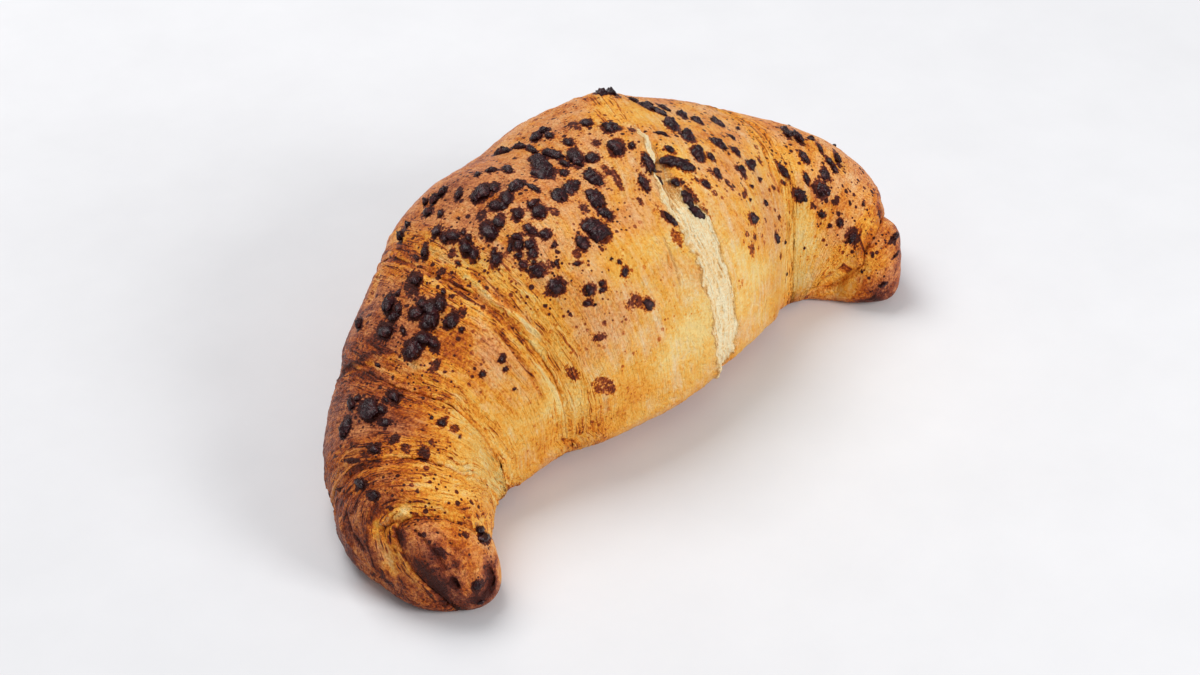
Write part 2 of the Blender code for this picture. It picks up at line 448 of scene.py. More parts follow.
# %% Patches of colour and shape
# (x, y, radius in pixels, change of browning, change of amber)
PATCHES = (
    (395, 300, 45, 0.10, -0.2), (350, 400, 45, 0.12, -0.2), (400, 425, 40, 0.14, 0.0),
    (345, 485, 26, -0.06, 0.5), (450, 335, 28, 0.18, 0.5), (470, 180, 55, 0.12, -0.3),
    (395, 538, 8, 0.36, 0.0), (424, 574, 10, 0.32, 0.7), (437, 589, 11, 0.40, 0.6),
    (439, 552, 5, 0.30, -0.2), (458, 563, 4, 0.20, 0.0), (470, 572, 9, -0.08, 0.0),
    (412, 562, 9, 0.16, 0.9), (455, 584, 3, 0.40, 0.0), (500, 557, 6, 0.30, -0.2),
    (477, 604, 7, 0.26, 0.0), (445, 608, 8, 0.25, 0.0), (440, 599, 6, 0.20, 0.0),
    (412, 538, 9, -0.12, 0.5), (460, 534, 16, 0.08, 0.6), (386, 567, 9, -0.10, 0.2),
    (405, 555, 8, 0.0, 0.4), (470, 590, 8, -0.08, 0.5), (360, 575, 14, 0.05, 0.2),
    (560, 190, 60, 0.08, -0.2), (830, 170, 40, 0.04, -0.1), (362, 345, 22, 0.06, -0.2),
    (450, 345, 18, 0.12, 0.2), (415, 405, 20, 0.06, 0.2), (522, 303, 22, 0.09, -0.2),
    (470, 215, 20, 0.13, -0.2), (345, 445, 18, 0.02, -0.1), (505, 475, 13, -0.22, 0.2),
    (547, 452, 10, 0.14, 0.2), (345, 540, 15, 0.10, -0.1), (400, 330, 30, 0.08, -0.1),
    (810, 248, 16, -0.12, 0.2), (760, 280, 22, -0.10, 0.2), (690, 330, 16, -0.08, 0.2),
    (775, 225, 30, 0.08, -0.3), (862, 302, 18, 0.34, 0.2), (600, 330, 50, 0.06, -0.30),
    (640, 395, 28, 0.20, 0.9), (700, 130, 50, 0.04, 0.1), (600, 438, 22, 0.16, 0.5),
    (700, 365, 16, 0.06, 0.6), (500, 430, 32, -0.12, 0.6), (560, 410, 26, -0.10, 0.5),
    (480, 470, 36, -0.16, 0.5), (450, 415, 18, -0.16, 0.3), (700, 330, 40, -0.18, 0.4),
    (745, 290, 45, -0.14, 0.3), (690, 240, 22, -0.20, 0.4), (672, 150, 20, -0.12, 0.5),
    (640, 110, 25, -0.10, 0.5), (800, 260, 30, -0.07, 0.3), (872, 225, 16, -0.18, 0.2),
    (650, 250, 22, -0.05, 0.5), (800, 225, 25, -0.07, 0.4), (778, 160, 26, -0.08, 0.7),
    (440, 490, 25, -0.20, 0.8), (400, 512, 14, -0.22, 0.4), (868, 262, 22, -0.06, 0.6),
    (545, 340, 30, 0.0, 0.5), (380, 520, 14, 0.10, 0.5), (620, 262, 24, -0.04, 0.5),
    (520, 375, 28, 0.0, -0.3), (470, 440, 22, -0.06, -0.2), (605, 115, 25, -0.06, 0.3),
    (510, 490, 20, -0.10, 0.4), (730, 350, 14, -0.10, 0.2),
)
# (x, y, radius in pixels, mm outwards)
BULGES = (
    (606, 93, 34, 1.9), (500, 140, 45, -1.0), (430, 205, 35, -1.2), (375, 262, 25, 1.3),
    (550, 112, 28, -0.7), (700, 110, 32, -1.2), (893, 236, 28, 2.4), (870, 180, 25, -0.7),
    (560, 450, 40, -1.2), (640, 415, 35, -0.5), (340, 350, 25, 0.4), (340, 550, 22, 0.5),
    (368, 583, 18, -1.2), (800, 290, 30, -0.8), (786, 306, 14, -1.8), (745, 351, 16, -0.8),
    (332, 510, 25, 0.6), (505, 496, 13, 1.2),
)

PATCH_PLACES = {row[:2]: crust_at(row[:2])[0] for row in PATCHES + BULGES}


def patch_changes(points, patches):
    """The changes that patches make at points, a column for each number that a patch changes."""
    change = np.zeros((len(points), len(patches[0]) - 3))
    for x, y, radius, *amounts in patches:
        reach = radius * VIEW_DISTANCE / PIXELS_PER_TANGENT
        off = np.sum((points - PATCH_PLACES[x, y]) ** 2, axis=1) / reach ** 2
        change += np.exp(-off)[:, None] * np.array(amounts)
    return change


print("patches of colour:", len(PATCHES), "and of shape:", len(BULGES))

# %% [markdown]
# The bits of chocolate on the crust, as the picture shows them: place in pixels, length, width, and
# the turn of the long side in degrees, counted up from the picture's right. Thin
# smears that sank into the crust are only a stain.

# %% Bits of chocolate, by where they lie
LEFT_BITS = (
    (385, 302, 19, 12, 45), (396, 305, 9, 7, 60), (391, 315, 11, 8, 25), (382, 328, 15, 11, 30),
    (400, 328, 5, 5, 0), (394, 290, 7, 3, 35), (413, 276, 14, 12, 20), (419, 299, 10, 8, 0),
    (438, 299, 12, 10, 60), (428, 304, 16, 12, 0), (430, 313, 18, 14, 60), (424, 321, 11, 9, 0),
    (413, 310, 14, 7, 15), (452, 316, 17, 12, 30), (461, 326, 6, 4, 0), (411, 346, 22, 12, 30),
    (423, 336, 16, 9, 0), (433, 341, 12, 7, -35), (423, 247, 12, 7, 40), (357, 324, 12, 6, 65),
    (434, 228, 11, 9, 30), (443, 234, 7, 7, 0), (451, 235, 14, 9, 5), (466, 235, 6, 5, 0),
    (462, 231, 5, 4, 0), (465, 244, 13, 10, -20), (472, 251, 9, 9, -40), (395, 233, 13, 7, 60),
    (372, 360, 4, 3, 0), (414, 255, 3, 3, 0), (441, 288, 4, 4, 0), (456, 259, 6, 3, -20),
)
UPPER_LEFT_BITS = (
    (432, 194, 16, 6, 40), (441, 187, 12, 5, 40), (423, 199, 8, 4, 50), (423, 208, 12, 7, 30),
    (437, 209, 8, 6, 30), (456, 190, 9, 8, 30), (481, 187, 18, 13, 30), (494, 183, 10, 9, 20),
    (475, 193, 9, 8, 60), (490, 168, 11, 5, 15), (506, 167, 11, 10, 0), (477, 172, 6, 5, 30),
    (500, 148, 20, 6, 15), (518, 141, 15, 6, 5), (505, 195, 12, 12, 0), (494, 203, 14, 8, 0),
    (503, 203, 10, 6, 0), (488, 227, 17, 12, -20), (497, 219, 12, 10, 20), (405, 222, 7, 4, 40),
    (456, 214, 3, 3, 0), (495, 258, 11, 10, 0), (493, 249, 5, 6, -40),
)
CROWN_BITS = (
    (603, 97, 15, 9, 15), (613, 97, 13, 8, -10), (610, 126, 19, 10, -10), (616, 146, 18, 14, -40),
    (585, 120, 11, 8, 0), (534, 131, 14, 10, 20), (542, 125, 13, 6, 15), (548, 131, 9, 7, 0),
    (568, 138, 10, 6, -20), (531, 144, 14, 7, -15), (553, 151, 21, 8, -15), (575, 156, 20, 14, -50),
    (590, 156, 14, 9, -5), (538, 156, 18, 11, 0), (540, 163, 20, 12, -10), (545, 172, 24, 15, -5),
    (564, 163, 12, 5, -20), (564, 173, 9, 7, 0), (592, 177, 21, 11, -40), (517, 184, 17, 9, 25),
    (534, 187, 16, 5, -30), (560, 194, 16, 15, 0), (569, 188, 17, 14, 50), (576, 183, 8, 6, 0),
    (594, 198, 22, 14, -50), (608, 210, 17, 9, -35), (538, 212, 14, 12, -30), (534, 203, 12, 5, 35),
    (519, 213, 9, 8, 0), (592, 223, 21, 13, 0), (602, 231, 22, 18, -30), (583, 241, 15, 11, -50),
    (531, 229, 15, 7, -35), (545, 233, 10, 9, 0), (516, 235, 12, 5, -10), (518, 244, 12, 10, 0),
    (528, 242, 10, 8, 0), (509, 244, 11, 4, 80), (518, 254, 8, 5, 0), (531, 252, 10, 9, 0),
    (533, 259, 5, 4, 0), (522, 263, 8, 6, -30), (538, 268, 16, 11, -10), (557, 284, 16, 15, 0),
    (554, 243, 5, 5, 0), (556, 261, 4, 5, 0), (576, 262, 7, 4, 0), (593, 289, 10, 10, 0),
    (604, 285, 5, 5, 0), (606, 291, 6, 5, 0), (591, 304, 6, 6, 0), (599, 303, 3, 3, 0),
    (628, 269, 10, 6, 80), (621, 263, 3, 4, 0), (612, 257, 3, 3, 0), (652, 303, 12, 9, -60),
    (506, 357, 5, 7, 0), (510, 366, 4, 4, 0), (486, 374, 5, 5, 0), (519, 387, 3, 3, 0),
)
RIGHT_BITS = (
    (645, 104, 20, 7, -15), (658, 108, 22, 6, -20), (649, 101, 10, 5, -10), (664, 104, 15, 5, -20),
    (634, 100, 12, 4, -10), (682, 110, 13, 9, -45), (672, 122, 18, 13, -35), (697, 116, 16, 8, -35),
    (719, 119, 19, 8, -42), (738, 127, 4, 5, 0), (690, 134, 20, 14, -60), (701, 151, 20, 13, -70),
    (719, 142, 18, 10, -35), (732, 136, 10, 4, -30), (736, 151, 14, 7, -40), (712, 154, 11, 6, -55),
    (670, 146, 12, 6, -35), (673, 156, 24, 10, -10), (686, 162, 22, 12, -25), (662, 130, 14, 4, -15),
    (650, 162, 22, 9, -58), (646, 181, 17, 7, -60), (661, 176, 11, 6, -45), (680, 177, 13, 6, -35),
    (691, 194, 20, 10, -55), (703, 211, 20, 9, -38), (671, 217, 21, 6, -45), (708, 183, 12, 8, -45),
    (720, 172, 14, 7, -75), (750, 164, 14, 12, 0), (743, 170, 13, 10, -60), (633, 145, 6, 6, 0),
    (755, 219, 12, 12, 0), (753, 185, 6, 4, 0), (752, 200, 4, 4, 0),
)
SHOULDER_BITS = (
    (786, 130, 18, 8, -40), (797, 135, 18, 9, -30), (811, 137, 9, 4, 0), (821, 146, 9, 5, -35),
    (839, 156, 17, 6, -45), (805, 155, 14, 7, -50), (830, 158, 11, 6, -30), (836, 166, 9, 6, -50),
    (826, 173, 14, 10, -70), (824, 190, 20, 16, -30), (783, 167, 19, 9, -40), (808, 177, 12, 6, -75),
    (801, 195, 19, 13, -20), (786, 182, 6, 5, 0), (767, 201, 7, 7, 0), (761, 178, 6, 5, 0),
    (823, 214, 8, 8, 0), (842, 222, 9, 5, 80), (832, 227, 4, 4, 0), (854, 237, 16, 9, 60),
    (779, 238, 12, 8, -60), (787, 243, 4, 5, 0), (806, 249, 3, 4, 0), (897, 239, 12, 6, 80),
    (884, 287, 5, 5, 0), (875, 255, 3, 3, 0), (894, 257, 3, 5, 0), (857, 271, 3, 3, 0),
    (788, 276, 3, 4, 0), (865, 204, 3, 4, 0), (852, 202, 3, 3, 0),
)
NEAR_TIP_BITS = (
    (390, 391, 11, 10, 0), (382, 396, 5, 4, 0), (348, 403, 10, 8, 70), (354, 397, 7, 5, 40),
    (366, 409, 20, 16, 40), (378, 406, 11, 8, 20), (342, 427, 20, 10, 65), (383, 419, 11, 6, 20),
    (369, 444, 8, 7, 0), (446, 419, 7, 6, 0), (433, 411, 3, 3, 0), (463, 434, 3, 3, 0),
    (355, 481, 10, 8, -30), (368, 496, 9, 8, 0), (487, 532, 12, 11, 0), (483, 523, 8, 7, 0),
    (479, 587, 10, 9, 0), (481, 605, 8, 4, 0), (366, 399, 8, 4, 0),
)
SMEARS = (
    (409, 288, 14, 11, -30), (461, 308, 9, 7, 20), (432, 363, 9, 6, 40), (616, 177, 20, 5, -60),
    (605, 338, 8, 6, 20), (639, 303, 11, 11, 0), (574, 374, 14, 4, -60), (605, 388, 16, 12, -60),
    (677, 240, 14, 7, -60), (746, 196, 6, 6, 0), (749, 234, 5, 6, 0), (757, 147, 5, 5, 0),
    (781, 216, 5, 7, 0), (767, 221, 5, 5, 0), (754, 251, 12, 8, -70), (783, 256, 6, 6, 0),
    (396, 435, 9, 5, 30), (405, 443, 8, 5, 0), (425, 449, 9, 8, 0), (457, 426, 7, 6, 0),
    (467, 532, 6, 5, 0), (445, 551, 8, 6, -30), (346, 457, 11, 4, 10), (747, 190, 5, 7, 0),
    (728, 181, 9, 4, -50), (717, 192, 7, 5, -40), (733, 187, 6, 4, -50), (775, 187, 6, 4, -60),
    (839, 199, 5, 6, 0), (777, 208, 5, 4, 0), (757, 237, 4, 5, 0), (575, 122, 12, 6, -10),
    (596, 141, 9, 5, -30), (605, 168, 12, 5, -60), (583, 208, 9, 6, -40), (555, 212, 9, 5, -30),
    (641, 199, 9, 4, -60), (712, 168, 8, 4, -60), (700, 178, 8, 4, -60), (760, 160, 6, 4, -50),
    (815, 205, 7, 4, -60), (632, 128, 9, 4, -30), (450, 250, 8, 5, 20), (480, 213, 9, 5, 20),
    (550, 262, 8, 4, -40), (577, 252, 7, 4, -40), (438, 268, 8, 4, 20),
)
BITS = LEFT_BITS + UPPER_LEFT_BITS + CROWN_BITS + RIGHT_BITS + SHOULDER_BITS + NEAR_TIP_BITS
MOST_STRETCH = 1.9          # how much a bit seen at a slant may be longer than it looks
LEAST_SLANT = 0.28          # below this, a bit counts as seen along the crust


def laid_flat(pixel_row):
    """A bit's middle on the crust and its half length and half width as arrows along the crust."""
    x, y, length, width, turn = pixel_row
    place, normal = crust_at((x, y))
    ray = ray_of((x, y))
    slant = -float(ray @ normal)
    turn = math.radians(turn)
    sides = ((length, math.cos(turn), math.sin(turn)), (width, -math.sin(turn), math.cos(turn)))
    arrows = []
    for size, right, up in sides:
        seen = size / 2 * VIEW_DISTANCE / PIXELS_PER_TANGENT
        shown = (RIGHT * right + UP * up) * seen
        arrow = shown + ray * float(shown @ normal) / max(slant, LEAST_SLANT)
        flat = arrow - normal * float(arrow @ normal)
        arrows.append(flat * min(1.0, seen * MOST_STRETCH / np.linalg.norm(flat)))
    size = min(np.linalg.norm(arrow) for arrow in arrows)
    on_outline = float(smooth(0.38, 0.10, max(slant, 0.0)))
    return place, normal, arrows[0], arrows[1], 0.5 * size + 0.2 + 0.5 * on_outline


LAID_BITS = [laid_flat(row) for row in BITS]
LAID_SMEARS = [laid_flat(row) for row in SMEARS]
print("bits of chocolate seen:", len(LAID_BITS), "smears:", len(LAID_SMEARS))

# %% [markdown]
# The far side of the crown isn't in the picture. Bits are strewn there as densely as on the seen
# side near the crown, and thin out towards the foot, since they were sprinkled from above.

# %% Bits on the far side
STREWN = 90
chance = np.random.default_rng(7)


def strewn_bits():
    laid = []
    while len(laid) < STREWN:
        along = chance.uniform(-0.8, 0.8)
        angle = math.radians(90 - abs(chance.normal(0, 38)))
        size = float(np.clip(chance.lognormal(0.15, 0.45), 0.5, 2.6))
        long_share = chance.uniform(1.0, 1.5)
        spin = chance.uniform(0, math.pi)
        point, normal = crust(np.array(along), np.array(angle))
        if angle < math.radians(-5) or normal @ (EYE - point) > -0.22 * VIEW_DISTANCE:
            continue
        side = np.cross(normal, (0.0, 0.0, 1.0))
        side /= np.linalg.norm(side)
        other = np.cross(normal, side)
        first = (side * math.cos(spin) + other * math.sin(spin)) * size * long_share * 0.5
        second = (other * math.cos(spin) - side * math.sin(spin)) * size / long_share * 0.5
        laid.append((point, normal, first * 1.4, second * 1.4, 0.35 * size + 0.2))
    return laid


STREWN_BITS = strewn_bits()
print("bits on the far side:", len(STREWN_BITS))


FULL_HALO_SIZE = 1.3        # half the size in mm from which a bit has its full halo


def near_bits(points, laid, halo):
    """1 on a bit, falling to 0 over the halo, in mm, round it, which is less for small bits."""
    closeness = np.zeros(len(points))
    order = np.argsort(points[:, 0])
    sorted_x = points[order, 0]
    for place, normal, first, second, _ in laid:
        size = (np.linalg.norm(first) + np.linalg.norm(second)) / 2
        reach = 2 * size + 3 * halo
        nearest, farthest = np.searchsorted(sorted_x, (place[0] - reach, place[0] + reach))
        near_x = order[nearest:farthest]
        close = near_x[np.abs(points[near_x, 1] - place[1]) < reach]
        arrows = np.stack([first, second, normal * size])
        shares = (points[close] - place) @ np.linalg.inv(arrows)
        off = np.linalg.norm(shares, axis=1)
        fading = halo * min(1.0, size / FULL_HALO_SIZE)
        closeness[close] = np.maximum(closeness[close], np.exp(-np.maximum(off - 1.0, 0.0) * size / fading))
    return closeness


# %% [markdown]
# Now the relief. The cut edge of a rolled wrap shows its layers: a sloping band of thin terraces,
# each a millimetre or so wide, that fade in and out round the roll. "Across" is the distance
# in mm across the layers, so one layer is a whole number of steps of that coordinate,
# and noise that is long round the roll and short across it makes them run like real dough.

# %% Terraces of layered dough
LAYER_STEP = 1.15
LAYER_HEIGHT = 0.65
LAYER_GAP = 0.50            # depth of the dark gaps that open between some layers


def layers(across, round_x, round_y, seed):
    """Height of the terraces, how deep a gap has opened, and the shade of each layer from 0 to 1."""
    phase = across / LAYER_STEP
    phase = phase + 1.3 * noise(across / 8, round_x / 15, round_y / 15, seed)
    phase = phase + 0.55 * noise(across / 3, round_x / 6, round_y / 6, seed + 1)
    phase = phase + 0.16 * noise(across / 1.5, round_x / 2, round_y / 2, seed + 2)
    index = np.floor(phase)
    inside = phase - index
    shade = hashed(index, seed + 3)
    strength = 0.2 + 0.8 * smooth(-0.35, 0.4, noise(index * 3.7, round_x / 9, round_y / 9, seed + 4))
    rise = inside ** 1.4 * (1.0 - smooth(0.80, 1.0, inside)) * strength
    opened = smooth(0.0, 0.5, noise(index * 5.3, round_x / 6, round_y / 6, seed + 5))
    gap = smooth(0.78, 0.92, inside) * (1.0 - smooth(0.94, 1.0, inside)) * opened
    return rise, gap, shade


print("one layer is", LAYER_STEP, "mm wide and up to", LAYER_HEIGHT, "mm high")

# %% [markdown]
# No pastry is smooth: the dough has slow lumps as wide as a thumb, and the skin shrinks into
# wrinkles of a few millimetres as it bakes. Both are noise, added up at five sizes.

# %% Lumps and wrinkles
def unevenness(points, facing_us):
    """Slow lumps of the dough and smaller wrinkles of the crust, in mm. The lumps are kept off
    the outline, which follows the picture."""
    lumps = 0.7 * noise_at(points, 22, 11) + 0.45 * noise_at(points, 10, 12)
    wrinkles = 0.20 * noise_at(points, 5.0, 13) + 0.11 * noise_at(points, 2.2, 14)
    wrinkles = wrinkles + 0.05 * noise_at(points, 1.0, 15)
    return lumps * facing_us + wrinkles


# %% [markdown]
# Every wrap is its own closed shell, made from a flat grid that is rolled up round the crescent.
# A hidden start tucks under its neighbour, the open surface runs to the wrap's edge, and there
# the rings roll over a rounded lip and back underneath. So a lip is a real one, with a
# shadow under it, and no shell has a hole.

# %% How a wrap's rings are laid
TUCK = 3.2                  # mm that a wrap goes on under its neighbour
TUCK_DIVE = 0.5             # how steeply it dives there
TUCK_RINGS = 5
LIP_RINGS = 8


def open_shares(length, finest, coarsest):
    """Shares from 0 to 1 along a wrap, closer together near its ends."""
    places = [0.0]
    while places[-1] < length:
        detail = max(math.exp(-places[-1] / 8), math.exp(-(length - places[-1]) / 8))
        places.append(places[-1] + coarsest + (finest - coarsest) * detail)
    return np.array(places) / places[-1]


def ring_plan(start, end, shares):
    """A row for each ring: share of the open surface, mm and lip radii beyond the edge,
    mm and lip depths sunk, and 1 where the shell closes."""
    rows = []
    if start == "tuck":
        rows.append((0.0, -TUCK, 0.0, 1.0, 0.0, 1.0))
        for ring_number in range(TUCK_RINGS):
            back = TUCK * (1 - ring_number / TUCK_RINGS)
            rows.append((0.0, -back, 0.0, TUCK_DIVE * back, 0.0, 0.0))
    if start == "lip":
        rows.append((0.0, TUCK, 0.0, 1.0, 1.0, 1.0))
        rows.append((0.0, TUCK, 0.0, 0.8, 1.0, 0.0))
        rows.append((0.0, TUCK / 2, 0.0, 0.1, 1.0, 0.0))
        for roll in np.linspace(math.pi, 0.0, LIP_RINGS)[:-1]:
            rows.append((0.0, 0.0, -math.sin(roll), 0.0, (1 - math.cos(roll)) / 2, 0.0))
    rows += [(share, 0.0, 0.0, 0.0, 0.0, 0.0) for share in shares]
    if end == "lip":
        for roll in np.linspace(0.0, math.pi, LIP_RINGS)[1:]:
            rows.append((1.0, 0.0, math.sin(roll), 0.0, (1 - math.cos(roll)) / 2, 0.0))
        rows.append((1.0, -TUCK / 2, 0.0, 0.1, 1.0, 0.0))
        rows.append((1.0, -TUCK, 0.0, 0.8, 1.0, 0.0))
        rows.append((1.0, -TUCK, 0.0, 1.0, 1.0, 1.0))
    return np.array(rows)


print("rings on a 20 mm wrap:", len(ring_plan("tuck", "lip", open_shares(20, 0.2, 0.35))))

# %% [markdown]
# A grid from bmesh has the right faces already, so only its points have to be moved. Its width goes
# once round the roll and its rows become the rings. Merging the long sides and the two end
# rings afterwards closes the shell.

# %% The grid that is rolled up
EVEN_TURNS = np.linspace(-math.pi, math.pi, 2001)
CROWDED = EVEN_TURNS - 0.45 * np.cos(EVEN_TURNS) - 0.45       # more points on the crown than underneath


def rolled_grid(name, rounds, rings):
    """A grid mesh, the turn round the roll of each point, and the number of its ring."""
    bm = bmesh.new()
    bmesh.ops.create_grid(bm, x_segments=rounds, y_segments=rings - 1, size=1.0)
    mesh = bpy.data.meshes.new(name)
    bm.to_mesh(mesh)
    bm.free()
    flat = np.empty(len(mesh.vertices) * 3)
    mesh.vertices.foreach_get("co", flat)
    flat = flat.reshape(-1, 3)
    turn = np.interp(flat[:, 0] * math.pi, CROWDED, EVEN_TURNS)
    row = np.rint((flat[:, 1] + 1) / 2 * (rings - 1)).astype(int)
    return mesh, turn, row


def close_shell(mesh):
    """Joins the grid's two long sides and its ends, so that the shell has no open edge."""
    bm = bmesh.new()
    bm.from_mesh(mesh)
    border = [vert for vert in bm.verts if vert.is_boundary]
    bmesh.ops.remove_doubles(bm, verts=border, dist=1e-7)
    bmesh.ops.recalc_face_normals(bm, faces=bm.faces)
    open_edges = sum(edge.is_boundary for edge in bm.edges)
    bm.to_mesh(mesh)
    bm.free()
    mesh.shade_smooth()
    return open_edges


# %% [markdown]
# The crumb, the pale inside of the dough, shows in the split to the right of its torn lip. How wide
# it lies open is read off the picture at a few angles.

# %% The open crumb of the split
CRUMB_ANGLES = np.radians((84, 93, 101, 110, 120, 130, 140, 155, 169, 178, 190, 200, 212))
CRUMB_WIDTHS = np.array((0.0, 2.0, 4.0, 6.0, 7.0, 8.0, 9.0, 9.0, 9.5, 10.0, 9.0, 6.5, 0.0))
CRUMB_DEPTH = 0.7
TORN = 1.1                  # how ragged the torn skin is, in mm


def turned_angle(angle):
    """Angles from -140 to 220 degrees, so that the inner side is in one piece."""
    return np.where(angle < math.radians(-140), angle + 2 * math.pi, angle)


def crumb_width(angle):
    return np.interp(turned_angle(angle), CRUMB_ANGLES, CRUMB_WIDTHS)


def torn_share(angle):
    """1 where the split is torn open, 0 where the crust is whole."""
    turned = turned_angle(angle)
    opens = smooth(math.radians(86), math.radians(100), turned)
    closes = smooth(math.radians(200), math.radians(212), turned)
    return opens * (1 - closes)


print("crumb, mm wide at the middle:", crumb_width(np.radians([130.0])))

# %% [markdown]
# Browning first follows the angle: strong outside and on the crown, weak on the low inner side.
# So does its kind: the left and outer sides are rosy, the inner side is amber.

# %% How brown the crust is
BROWN_ANGLES = np.radians((-140.0, -120.0, -60.0, 0.0, 40.0, 70.0, 95.0, 130.0, 155.0, 175.0, 195.0, 220.0))
BROWN_SHARES = np.array((0.48, 0.58, 0.66, 0.64, 0.57, 0.45, 0.35, 0.31, 0.23, 0.21, 0.29, 0.48))
AMBER_SHARES = np.array((0.45, 0.30, 0.15, 0.15, 0.20, 0.35, 0.45, 0.50, 0.60, 0.65, 0.60, 0.45))


def base_browning(along, angle):
    browning = np.interp(turned_angle(angle), BROWN_ANGLES, BROWN_SHARES)
    browning = browning + 0.10 * smooth(0.84, 0.98, np.abs(along))
    return browning + 0.06 * smooth(0.2, 0.6, -along)


def base_amber(angle):
    return np.interp(turned_angle(angle), BROWN_ANGLES, AMBER_SHARES)


print("browning on the crown:", base_browning(np.array([0.0]), np.radians([90.0])).round(2))

# %% [markdown]
# Making a wrap goes in steps, and each step adds to one record of the wrap, called w. The first
# rolls up the grid: every point gets its share of the way from the wrap's start to its end.

# %% Step 1: roll up the grid
GRAIN_RADIUS = 20.0


def roll_up(w):
    plan = ring_plan(w.start_kind, w.end_kind, open_shares(w.width, w.finest, w.coarsest))
    w.mesh, w.turn, row = rolled_grid(w.name, w.rounds, len(plan))
    w.share, w.beyond, w.beyond_lips, w.sunk, w.sunk_lips, w.closed = plan[row].T
    w.row = row
    _, _, w.angle = ring(w.turn)
    w.round_x = GRAIN_RADIUS * np.cos(w.turn)
    w.round_y = GRAIN_RADIUS * np.sin(w.turn)
    w.across = w.share * w.width + w.beyond + w.seed * 100
    w.first = w.start(w.angle)
    w.last = w.end(w.angle)
    w.forward = 1.0 if np.mean(w.last - w.first) > 0 else -1.0
    w.along = w.first + (w.last - w.first) * w.share
    if w.end_kind == "tip":
        round_off_tip(w)


def round_off_tip(w):
    """Lays the rings closer together where the tip curves in, so that it stays round."""
    reach = TIP_ROUNDING * (HALF_WIDTHS[0] if w.forward < 0 else HALF_WIDTHS[-1])
    length = LEFT_LENGTH if w.forward < 0 else RIGHT_LENGTH
    from_tip = (1.0 - np.abs(w.first)) * length / reach
    roll_start = np.arcsin(np.clip(1.0 - from_tip, -1.0, 1.0))
    roll = roll_start + (math.pi / 2 - roll_start) * w.share
    w.along = w.forward * (1.0 - (1.0 - np.sin(roll)) * reach / length)


# %% [markdown]
# The second step makes the edges: how deep the lip stands over its neighbour, how the band before it
# slopes down, and how ragged it is. The lip of the split is deep and torn.

# %% Step 2: edges and lips
def round_noise(w, size, seed):
    """Noise that changes only round the roll, for an edge's raggedness."""
    return noise(w.turn * 0 + 0.5, w.round_x / size, w.round_y / size, seed)


def shape_edges(w):
    at_split = torn_share(w.angle)
    w.torn = at_split * (w.share > 0.5) if w.torn_end else 0.0 * at_split
    depth = np.where(w.share > 0.5, 0.35 + 1.35 * at_split, w.depth) if w.torn_end else w.depth
    w.fall_depth = w.fall * depth * (1 - w.torn)
    lip_depth = np.maximum(depth - w.fall_depth, 0.3)
    ragged = 0.5 * round_noise(w, 7, w.seed + 5) + 0.3 * round_noise(w, 1.8, w.seed + 6)
    torn = TORN * (round_noise(w, 1.5, 21) + 0.6 * round_noise(w, 0.6, 22))
    ragged = ragged * (1 - 0.6 * w.torn) + torn * w.torn
    near_edge = smooth(0.6, 1.0, w.share) * (w.end_kind == "lip") + 1 - smooth(0.0, 0.4, w.share)
    shift = w.beyond + w.beyond_lips * lip_depth / 2 + ragged * near_edge
    w.along = np.clip(w.along + w.forward * shift / half_length(w.along), -1.0, 1.0)
    w.past_start = (w.along - w.first) * w.forward * half_length(w.along)
    w.before_end = (w.last - w.along) * w.forward * half_length(w.along)
    w.sink = w.sunk + w.sunk_lips * lip_depth


def slope_bands(w):
    """Sinks the bands beside the edges and says where the layers show."""
    w.layered = np.full(len(w.turn), w.layer_share)
    if w.start_kind == "tuck":
        step = 0.35 + 1.0 * torn_share(w.angle) if w.torn_start else w.step
        w.sink = w.sink + step * np.exp(-np.maximum(w.past_start, 0.0) / w.swell)
        if not w.torn_start:
            w.layered = np.maximum(w.layered, 1 - smooth(w.bare / 4, w.bare, w.past_start))
    else:
        w.sink = w.sink + w.fall * w.depth * (1 - smooth(0.0, w.band, w.past_start))
        w.layered = np.maximum(w.layered, 1 - smooth(w.band * 0.6, w.band * 1.5, w.past_start))
    if w.end_kind == "lip":
        w.sink = w.sink + w.fall_depth * (1 - smooth(0.0, w.band, w.before_end))
        band = 1 - smooth(w.band * 0.6, w.band * 1.5, w.before_end)
        w.layered = np.maximum(w.layered, band * (1 - w.torn))


# %% [markdown]
# The third step raises the relief and gives each point its colour numbers. The gaps that open between
# layers are browned darker as painted shade, and the tops of the terraces a little paler as painted light.

# %% Step 3: relief and browning
def raise_relief(w):
    w.plain, normal = crust(w.along, w.turn)
    to_eye = EYE - w.plain
    facing_us = np.sum(normal * to_eye, axis=1) / np.linalg.norm(to_eye, axis=1)
    w.raised = unevenness(w.plain, smooth(0.0, 0.45, np.abs(facing_us)))
    w.raised += patch_changes(w.plain, BULGES)[:, 0]
    rise, gap, shade = layers(w.across, w.round_x, w.round_y, w.seed)
    w.raised += w.layered * (LAYER_HEIGHT * (rise - 0.3) - LAYER_GAP * gap)
    creases = noise(w.across / 1.2, w.round_x / 8, w.round_y / 8, w.seed + 8)
    w.raised += 0.09 * creases
    change = patch_changes(w.plain, PATCHES)
    w.browning = base_browning(w.along, w.angle) + change[:, 0] + 0.07 * noise_at(w.plain, 13, 31)
    # each layer keeps its own random tone; the gaps between layers are browned darker as painted shade, and
    # the terrace tops a little paler as painted light
    w.browning += w.layered * (0.04 + 0.22 * (shade - 0.5) + 0.40 * gap - 0.08 * rise)
    w.amber = base_amber(w.angle) + change[:, 1] + 0.5 * w.layered + 0.45 * noise_at(w.plain, 7, 32)
    w.amber = np.clip(w.amber, 0.0, 1.0)
    w.cream = np.zeros(len(w.turn))


